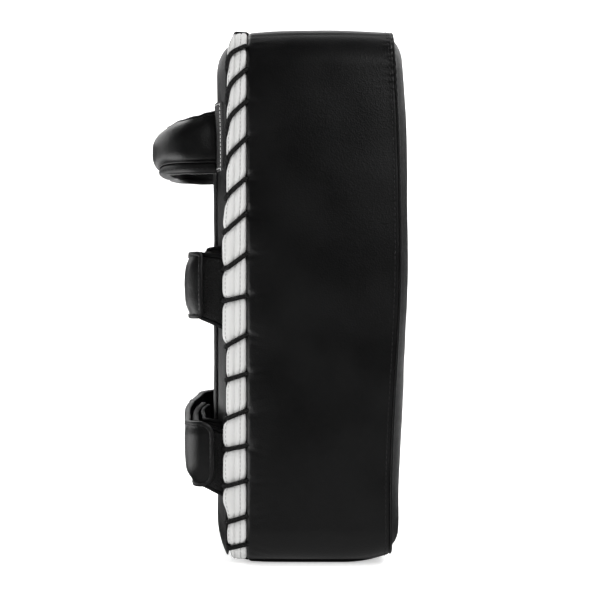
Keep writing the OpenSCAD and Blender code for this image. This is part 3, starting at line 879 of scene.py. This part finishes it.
class Plan:
    """A run with rounded corners, seen from above. Its normal points to the left of the walk.

    It bows sideways from its first corner to its second, or to its end if it has only one."""

    def __init__(self, corners, radii, bow):
        corners = np.array(corners, float)
        pts, marks = [corners[0]], []
        for k, radius in enumerate(radii, 1):
            corner = corners[k]
            before, after = unit_rows(corners[[k - 1, k + 1]] - corner)
            half = math.acos(np.clip(before @ after, -1, 1)) / 2
            reach = radius / math.tan(half)
            middle = before + after
            centre = corner + middle / np.linalg.norm(middle) * radius / math.sin(half)
            a, b = corner + before * reach - centre, corner + after * reach - centre
            turn = math.atan2(a[0] * b[1] - a[1] * b[0], a @ b)
            marks += [len(pts), len(pts) + 16]
            for g in np.linspace(0, turn, 17):
                c, s = math.cos(g), math.sin(g)
                pts.append(centre + np.array([c * a[0] - s * a[1], s * a[0] + c * a[1]]))
        pts = np.array(pts + [corners[-1]])
        dense = []
        for here, there in zip(pts, pts[1:]):
            n = max(1, int(np.linalg.norm(there - here) / 1.5))
            dense.append(here + (there - here) * (np.arange(n) / n)[:, None])
        path = np.concatenate(dense + [pts[-1:]])
        bends = lengths(pts)[marks + [-1]]
        self.first_bend = (bends[0] + bends[1]) / 2
        share = unit((lengths(path) - bends[1]) / (bends[2] - bends[1]))
        path = path + self.normals(path) * (bow * np.sin(math.pi * share) ** 1.5)[:, None]
        self.path, self.at = path, lengths(path)
        self.normal = self.normals(path)
        self.length = self.at[-1]

    @staticmethod
    def normals(path):
        along = np.gradient(path, axis=0)
        along = np.stack([np.convolve(np.pad(column, 2, mode="edge"), np.ones(5) / 5, "valid")
                          for column in along.T], -1)
        along = unit_rows(along)
        return np.stack([-along[:, 1], along[:, 0]], -1)

    def point(self, s, offset):
        """x and y at distance s along the run and offset to its left."""
        x, y = (np.interp(s, self.at, column) for column in self.path.T)
        nx, ny = (np.interp(s, self.at, column) for column in self.normal.T)
        return x + nx * offset, y + ny * offset


# ---------- straps ----------

STRAP_H = STRAP_HIGH[2] - STRAP_LOW[2] + 6.4
UPPER_Z, LOWER_Z = STRAP_LOW[2] - 2.0 + STRAP_H / 2, 90
LOWER_TILT = math.radians(4)
TAPE = 3.4  # width of a strap's bound edge
HALF_T = 2.0  # half the thickness of a strap
CORNER_X = X_CUSHION - 5.4
NEAR_Y, FAR_Y = -PAD_W / 2 + 13.5, PAD_W / 2 - 17
BAND_R, FLAP_R = 10.5, 4.0  # middle of the band and of the landing flap
ROOT_X = X_EDGE + 1.5
TAB_X = X_BACK + 6
JOIN_Y = 22  # where the two halves of a strap are sewn together
HOOK_Y = -10  # where the hook tape starts
STRAP_BOW, FLAP_BOW = -4.5, 3.0
STRAP_PLAN = Plan([(ROOT_X, FAR_Y + BAND_R), (CORNER_X - BAND_R, FAR_Y + BAND_R),
                   (CORNER_X - BAND_R, NEAR_Y - BAND_R), (TAB_X, NEAR_Y - BAND_R)],
                  (24, BAND_R), STRAP_BOW)
FLAP_PLAN = Plan([(ROOT_X, NEAR_Y - FLAP_R), (CORNER_X - FLAP_R, NEAR_Y - FLAP_R),
                  (CORNER_X - FLAP_R, 15)], (FLAP_R,), FLAP_BOW)
LINING_PLAN = Plan([(ROOT_X - 1, NEAR_Y + 1.5), (CORNER_X + 1.6, NEAR_Y + 1.5),
                    (CORNER_X + 1.6, -8)], (6,), FLAP_BOW)


class Band:
    """A stretch of padded band laid along a plan, bound above and below, and at a rounded end.

    out is 1 where the plan's normal points outwards and -1 where it points inwards. slope is how
    far its top and its bottom edge start low, and over what length that fades."""

    def __init__(self, plan, start, end, out, r_end, height, mid_z, tilt, pull, slope):
        self.plan, self.start, self.length = plan, start, end - start
        self.out, self.r_end, self.height, self.mid_z = out, r_end, height, mid_z
        self.tilt, self.pull, self.slope = tilt, pull, slope

    def warp(self, a, b, t):
        """Places for distances a along, b up and t outwards."""
        a = a + self.start
        off_middle = np.abs(b) / self.height * 2
        over = 0.7 * smooth((off_middle - 0.25) / 0.75) ** 1.5 + 0.3 * off_middle
        drawn = np.where(b > 0, self.pull[0], self.pull[1]) * over * smooth((a - 8) / 12)
        x, y = self.plan.point(a, self.out * (t - drawn))
        top, bottom, run = self.slope
        share = b / self.height + 0.5
        z = b - unit(1 - a / run) ** 1.2 * (top * share + bottom * (1 - share))
        c, k = math.cos(self.tilt), math.sin(self.tilt)
        return spots(x, y * c - z * k, self.mid_z + y * k + z * c)

    def sheet(self, inset):
        """The flat shape of the band, pulled in by inset along its bound edges."""
        bound = self.r_end > 0
        length = self.length - (inset if bound else 0)
        r_end = max(self.r_end - inset, 0.8) if bound else 0
        return Sheet(length, self.height - 2 * inset, 0, r_end, 1.7, (False, bound))

    def panel(self, puff, seed, thick=HALF_T):
        """The padded middle, which meets the bound edge in a stitched groove."""
        sheet = self.sheet(1.4)
        rise = puff * smooth((sheet.d - TAPE + 1.2) / 7)
        spot = self.warp(sheet.a, sheet.b, 0)
        uneven = 0.16 * ripple(spot, 20, seed) * smooth((sheet.d - 3) / 6)
        top = thick - 0.85 + rise + uneven
        top = np.where(sheet.d < 1.2, thick - 1.4 + 0.45 * sheet.d, top)
        return sheet.solid(top, -thick + 0.5, self.warp)

    def binding(self, thick=HALF_T, width=TAPE):
        """Tape folded round the edge: a soft flat section carried along it."""
        around = np.linspace(0, 2 * math.pi, 17)[:-1]
        side = signed_power(np.cos(around), 0.8) * width / 2
        over = signed_power(np.sin(around), 0.62) * (thick + 0.25)
        parts = []
        for line, out in self.sheet(0).edge_line(width / 2):
            ring = self.warp(line[:, :1] + side * out[:, :1], line[:, 1:] + side * out[:, 1:], over)
            parts.append(grid_mesh(ring, False, True, lengths(line), np.arange(17) * 0.7, caps=True))
        return merged(parts)

    def stitches(self, inset, lift):
        parts = []
        for line, _ in self.sheet(0).edge_line(inset):
            on, off = (self.warp(*line.T, t) for t in (lift, lift + 1))
            parts.append(stitches_along(on, off - on, 3.6, length=2.4, width=0.5, lift=0.05))
        return merged(parts)

    def tape(self, a0, a1, inset, t0, t1, rough, seed):
        """A flat strip of hook or loop tape, rough on the side that faces away from the band."""
        strip = Sheet(a1 - a0, self.height - 2 * inset, 1.5, 1.5, 1.8)

        def warp(a, b, t):
            return self.warp(a + a0, b, t)

        pile_height = rough * ripple(warp(strip.a, strip.b, 0), 3.2, seed)
        edge = 0.35 * (1 - smooth(strip.d / 0.8))
        if t1 > 0:
            return strip.solid(t1 + pile_height - edge, t0, warp)
        return strip.solid(t1, t0 + pile_height + edge, warp)


def crossing(y):
    """Distance along the straps' plan where it crosses y, past its first bend."""
    late = STRAP_PLAN.at > STRAP_PLAN.first_bend
    return STRAP_PLAN.at[late][np.argmin(np.abs(STRAP_PLAN.path[late, 1] - y))]


def make_strap(name, mid_z, tilt, tab_end, tab_r, top_drop, bottom_drop, pull):
    """A forearm strap: the crossing band, its tab on the near side and the landing flap under it.

    The tab ends at depth tab_end. The flap's top and bottom edges start lower by their drops, and
    pull is how far the band's top and bottom edges are drawn in."""

    def node(part):
        return "%s_%s" % (name, part)

    def add(part, mesh, slot, stands_for="", finish=None, body="pad", join=None):
        piece(node(part), mesh, slot, [node(n) for n in stands_for.split()], finish, body, join)

    def fold(body, *ends):
        """A bend towards a body, between two (x, y) places turned with the strap."""
        places = [(x, y * math.cos(tilt), mid_z + y * math.sin(tilt)) for x, y in ends]
        return (node(body), *places)

    def band(plan, start, end, out, r_end, taller=0.0, raised=0.0, slope=(0, 0, 1)):
        return Band(plan, start, end, out, r_end, STRAP_H + taller, mid_z + raised, tilt, pull, slope)

    def dressed(part, shape, body, join, puff, seed, in_panel, in_edge):
        """A band's padded middle, its bound edge and the stitches along that edge."""
        add(part + "_panel", shape.panel(puff, seed), "vinyl_black", in_panel, body=body,
            join=join)
        add(part + "_edge", shape.binding(), "vinyl_trim", in_edge, body=body, join=join)
        add(part + "_stitches", shape.stitches(TAPE - 0.5, HALF_T + 0.1), "vinyl_trim",
            finish="thread_black", body=body, join=join)

    fold_far = fold("strap", (-92.5, 96.5), (-104.5, 80))
    fold_tab = fold("tab", (-104.8, -80), (-93, -97.5))
    fold_flap = fold("flap", (-91, -91.5), (-97.5, -82))
    strap = node("strap")
    split = crossing(JOIN_Y)
    far = band(STRAP_PLAN, 0, split, -1, 0)
    cross = band(STRAP_PLAN, split, STRAP_PLAN.length - (TAB_X - tab_end), -1, tab_r)
    flap = band(FLAP_PLAN, 0, FLAP_PLAN.length, 1, 8, slope=(top_drop, bottom_drop, 24))
    lining = band(LINING_PLAN, 0, LINING_PLAN.length, 1, 8, 1, 1.2,
                  (top_drop - 6, bottom_drop - 4, 30))

    dressed("strap_far", far, "pad", fold_far, 0.9, 3, "strap_root", "strap_root_binding")
    dressed("strap", cross, strap, fold_tab, 1.1, 4, "strap_band tab_band",
            "strap_binding tab_binding")
    seam = band(STRAP_PLAN, split - 5, split + 5, -1, 0, 0.2)
    cover = Sheet(seam.length, seam.height, 1.2, 1.2, 1.6)
    raised = HALF_T + 0.6 - 0.35 * (1 - smooth(cover.d / 1.2))
    add("strap_join", cover.solid(raised, -raised, seam.warp), "vinyl_trim", body=strap)
    hook = cross.tape(crossing(HOOK_Y) - split, cross.length - 4, 5, -HALF_T - 0.9, -HALF_T + 0.6,
                      0.16, 8)
    add("strap_hook_tape", hook, "hook_tape", "strap_hook tab_hook", body=strap, join=fold_tab)

    add("flap_panel", flap.panel(0.0, 5), "vinyl_black", "flap_root flap_band",
        join=fold_flap)
    add("flap_edge", flap.binding(), "vinyl_trim", "flap_binding", finish="edge_matte",
        join=fold_flap)
    add("flap_loop_tape", flap.tape(2, flap.length - 5, 3.6, 1.0, HALF_T + 1.15, 0.18, 9),
        "loop_tape", "flap_root_loop flap_loop", join=fold_flap)
    add("flap_lining", lining.panel(0.0, 6, thick=1.3), "lining", join=fold_flap)
    add("flap_lining_edge", lining.binding(thick=1.2, width=2.6), "vinyl_trim",
        finish="edge_matte", join=fold_flap)


# ---------- handle ----------

GRIP_INNER = GRIP_OUT_LOW[0] + 14  # face that the fingers touch
GRIP_Y = GRIP_OUT_HIGH[1] - 14
GRIP_BOTTOM = GRIP_OUT_LOW[2]
GRIP_MID = (GRIP_BOTTOM + GRIP_TOP) / 2
GRIP_PLAN = Plan([(X_FLAT - 0.5, -GRIP_Y), (GRIP_INNER, -GRIP_Y), (GRIP_INNER, GRIP_Y),
                  (X_FLAT - 0.5, GRIP_Y)], (25, 25), -1.0)
GRIP_DIP = ((0, 0), (7, 1.3), (14, 3.6), (26, 6.4), (40, 9.8), (56, 10.4))
HANDLE_JOIN = ("handle", (-81.5, 0, GRIP_MID), (-97, 0, GRIP_MID))
PATCH_Y, PATCH_H, PATCH_W, PATCH_RAISED = 80.5, 52.0, 24.0, 1.5
PATCH_STITCH = 2.0  # from the patch's edge to its line of stitches


def handle_part(name, section, slot, replaced=()):
    """Carries a closed section, (offset, height) pairs that may change along, round the arch."""
    a = np.linspace(0, GRIP_PLAN.length, int(GRIP_PLAN.length / 1.8))[:, None]
    t, z = np.broadcast_arrays(*section(a))
    x, y = GRIP_PLAN.point(np.broadcast_to(a, t.shape), t)
    mesh = grid_mesh(spots(x, y, z), False, True, a[:, 0], caps=True)
    piece(name, mesh, slot, replaced, join=HANDLE_JOIN)


def make_handle():
    around = np.linspace(0, 2 * math.pi, 49)[:-1][None, :]
    ca, sa = np.cos(around), np.sin(around)

    def from_end(a):
        return np.minimum(a, GRIP_PLAN.length - a)

    def top(a):
        """Height of the band's top edge, which dips along the free part."""
        return GRIP_TOP - 0.6 - keyed(from_end(a), GRIP_DIP)

    def foot(a):
        """Height of its bottom edge, which is lower on the near side."""
        return GRIP_BOTTOM - 2.6 + 3.0 * smooth((a - 70) / 60)

    def rim(a):
        """Height of the soft roll under the cover, which is lower along the free part."""
        return 8.8 - 3.8 * smooth((from_end(a) - 30) / 30)

    def cover(a):
        """A fat D: flat inside and crowned outside, with its apex below the middle."""
        low, high = foot(a) + rim(a), top(a) - 0.6
        apex = low + (high - low) * 0.42
        z = np.where(sa > 0, apex + (high - apex) * sa, apex - (apex - low) * np.abs(sa) ** 0.72)
        thick = 6.9 + 4.6 * smooth(from_end(a) / 34)
        out = 2.4 + thick * np.where(sa > 0, 1 - unit(sa) ** 2.5, unit(ca) ** 0.42)
        out = out - 0.9 * hump(a - 16, 4.0) * unit(ca)
        spot = spots(a, out * 2, z)
        uneven = (0.32 * ripple(spot, 34, 61) + 0.14 * ripple(spot, 12, 62)) * unit(ca)
        return np.where(ca > 0, out + uneven, 2.4), z

    def rolled(above, z_mid, half_z, t_mid, half_t):
        """A soft roll: its height is measured up from the bottom, or down from the top edge."""
        def section(a):
            grow = rim(a) / 7.0 if above else 1.0
            base = foot(a) + z_mid * grow if above else top(a) - z_mid
            z = base + half_z * grow * signed_power(sa, 0.75)
            return t_mid + half_t * signed_power(ca, 0.75), z + 0.12 * np.sin(a * 0.35)
        return section

    def lining(a):
        low, high = foot(a) + 1.0, top(a) - 1.0
        z = (high + low) / 2 + (high - low) / 2 * signed_power(sa, 0.5)
        return 1.3 + 1.5 * signed_power(ca, 0.6), z

    handle_part("handle_shell", cover, "vinyl_black",
                ["handle_cover", "handle_foam", "handle_webbing"])
    handle_part("handle_inside", lining, "lining", ["handle_lining"])
    handle_part("handle_top_edge", rolled(False, 1.6, 1.7, 1.4, 1.9), "vinyl_trim",
                ["handle_top_binding"])
    handle_part("handle_bottom_edge", rolled(True, 3.5, 3.5, 4.4, 4.4), "vinyl_trim",
                ["handle_bottom_binding"])
    handle_part("handle_top_welt", rolled(False, 3.4, 0.6, 4.1, 0.7), "vinyl_trim")
    handle_part("handle_bottom_welt", rolled(True, 7.2, 0.7, 8.4, 0.8), "vinyl_trim")
    rows = []
    a = np.arange(4, GRIP_PLAN.length - 4, 1.5)
    for z, face in ((top(a) - 1.8, 3.4), (foot(a) + 3.5, 8.9)):
        on, off = (spots(*GRIP_PLAN.point(a, t), z) for t in (face, face + 1))
        rows.append(stitches_along(on, off - on, 3.8, length=2.5, width=0.55, lift=0.0))
    piece("handle_stitches", merged(rows), "vinyl_trim", finish="thread_black",
          join=HANDLE_JOIN)


def make_anchor(name, side):
    """The plain patch that is sewn over one end of the handle and laps on to the edge."""
    sheet = Sheet(PATCH_H, PATCH_W, 2.5, 2.5, 1.6)

    def warp(a, b, t):
        y, z = side * PATCH_Y + b, a + GRIP_MID + PATCH_RAISED - PATCH_H / 2
        return spots(back_x(y, z) - 0.3 - t, y, z)

    top = 1.5 - 0.7 * (1 - smooth(sheet.d)) - 0.3 * hump(sheet.d - PATCH_STITCH, 0.5)
    piece("handle_patch_" + name, sheet.solid(top, -0.6, warp), "webbing",
          ["handle_anchor_" + name])
    rows = []
    foot = np.array([(PATCH_STITCH, b) for b in np.linspace(-10, 10, 15)])
    for line in (sheet.edge_line(PATCH_STITCH)[0][0], foot):
        normal = np.tile([-1.0, 0.25 * side, 0], (len(line), 1))
        rows.append(stitches_along(warp(*line.T, 1.3), normal, 3.0, length=2.4, width=0.6,
                                   lift=0.05))
    piece("handle_patch_%s_stitches" % name, merged(rows), "vinyl_white",
          finish="thread_white")


make_wall()
make_roll("wall_roll", ROLL_FRONT, "gusset_binding", outer=1, stitch_at=0.5)
make_roll("back_roll", ROLL_BACK, "back_binding", outer=-1, stitch_at=0.3)
make_lacing()
make_back()
make_cushion()
make_face()
make_handle()
make_anchor("near", side=-1)
make_anchor("far", side=1)
make_strap("upper", UPPER_Z, 0.0, tab_end=-90.3, tab_r=4.5, top_drop=2.5, bottom_drop=10,
           pull=(2.8, 2.8))
make_strap("lower", LOWER_Z, LOWER_TILT, tab_end=-82, tab_r=10.5, top_drop=9, bottom_drop=9,
           pull=(0.0, 6.0))


# ---------- carried-over CAD solids ----------

for node_name, slot_name in (("core_foam", "foam_soft"), ("base_foam", "foam_firm"),
                             ("rear_foam", "foam_soft"), ("back_board", "board")):
    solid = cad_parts[node_name]
    solid.data.materials.clear()
    solid.data.materials.append(MATERIALS[slot_name])


# ---------- camera, lights and floor ----------

SENSOR = 36
CAMERA_FAR = 1150  # camera to the near side of the pad
CAMERA_X, CAMERA_Z = -18.2, 198.1
VIEW_W = 444.0  # width of the view at the near side
scene = bpy.context.scene
camera_data = bpy.data.cameras.new("camera")
camera_data.sensor_width = SENSOR
camera_data.lens = SENSOR * CAMERA_FAR / VIEW_W
camera = bpy.data.objects.new("camera", camera_data)
camera.location = (CAMERA_X * MM, (-PAD_W / 2 - CAMERA_FAR) * MM, CAMERA_Z * MM)
camera.rotation_euler = (math.pi / 2, 0, 0)
scene.collection.objects.link(camera)
scene.camera = camera
scene.view_settings.view_transform = "Standard"

# Name, place, target, size and watts. The first two give no reflections, and the two just above
# the floor stand for its reflection.
CENTRE = (0, 0, 0.2)
LIGHTS = (
    ("overhead", (0.0, 0.1, 1.9), CENTRE, (2.2, 1.8), 20),
    ("front_fill", (0.0, -1.6, 0.9), CENTRE, (1.6, 0.9), 2.5),
    ("left", (-1.3, 0.1, 0.5), CENTRE, (0.8, 1.2), 1.8),
    ("left_low", (-1.1, -0.4, 0.05), (-0.08, -0.1, 0.05), (1.0, 0.12), 1.5),
    ("right_front", (0.6, -1.1, 0.8), (0.05, -0.1, 0.3), (0.4, 0.5), 2.6),
    ("upper_left", (-0.55, 0.6, 1.3), (-0.1, -0.08, 0.33), (0.5, 0.5), 3.5),
    ("top_rim", (0.3, 0.5, 1.6), (0, 0, 0.35), (1.2, 0.5), 2),
    ("right_high", (1.1, -0.35, 1.3), (0.06, -0.1, 0.38), (0.5, 0.5), 9),
    ("floor_glow", (0.05, -0.3, 0.004), (0.05, -0.3, 1), (0.5, 0.35), 0.16),
    ("floor_glow_left", (-0.5, -0.25, 0.004), (-0.5, -0.25, 1), (0.5, 0.5), 3.0),
)
for light_name, place, target, size, power in LIGHTS:
    data = bpy.data.lights.new(light_name, "AREA")
    data.shape = "RECTANGLE"
    data.size, data.size_y = size
    data.energy = power
    light = bpy.data.objects.new(light_name, data)
    light.location = place
    light.visible_camera = False
    light.visible_glossy = light_name not in ("overhead", "front_fill")
    dx, dy, dz = np.array(target) - np.array(place)
    light.rotation_euler = (math.atan2(math.hypot(dx, dy), -dz), 0, math.atan2(dy, dx) - math.pi / 2)
    scene.collection.objects.link(light)

WORLD_STRENGTH = 0.018
world = bpy.data.worlds.new("world")
world.use_nodes = True
background = world.node_tree.nodes["Background"]
background.inputs["Color"].default_value = (1, 1, 1, 1)
background.inputs["Strength"].default_value = WORLD_STRENGTH
scene.world = world


def make_stage():
    """A round table of pale floor, and a wide floor that curves up into a backdrop all round.
    Only the rear floor and the upper rear backdrop show in reflections: they make the bright
    rims, and the rest stays out so that black vinyl stays black."""
    s = Shader("studio_paint", (0.86, 0.86, 0.86), 0.8)
    s.color_between(s.noise(6.0, 2.0), (0.88, 0.88, 0.88), (0.9, 0.9, 0.9))
    s.bsdf.inputs["Emission Color"].default_value = (1, 1, 1, 1)
    s.bsdf.inputs["Emission Strength"].default_value = 0.5
    inner, outer, curve, top = 0.55, 2.2, 0.9, 3.6
    floor = [(inner, 0), (1.0, 0), (outer, 0)]
    bend = [(outer + curve * math.sin(a), curve * (1 - math.cos(a)))
            for a in np.linspace(0, math.pi / 2, 11)]
    upright = [(outer + curve, curve), (outer + curve, top)]

    def turned(name, rows, start, end, glossy):
        points = np.array([[(r * math.cos(g), r * math.sin(g), z) for r, z in rows]
                           for g in np.linspace(start, end, 49)])
        obj = add_mesh(name, *grid_mesh(points / MM))
        obj.data.materials.append(s.mat)
        obj.visible_glossy = glossy

    turned("floor_table", [(0.001, 0), (0.3, 0), (inner, 0)], 0, 2 * math.pi, False)
    rear = (-0.1, math.pi + 0.1)
    front = (rear[1], rear[0] + 2 * math.pi)
    turned("floor_rear", floor, *rear, True)
    turned("backdrop_rear_low", bend, *rear, False)
    turned("backdrop_rear_high", upright, *rear, True)
    turned("backdrop_front", floor + bend[1:] + upright[1:], *front, False)


make_stage()
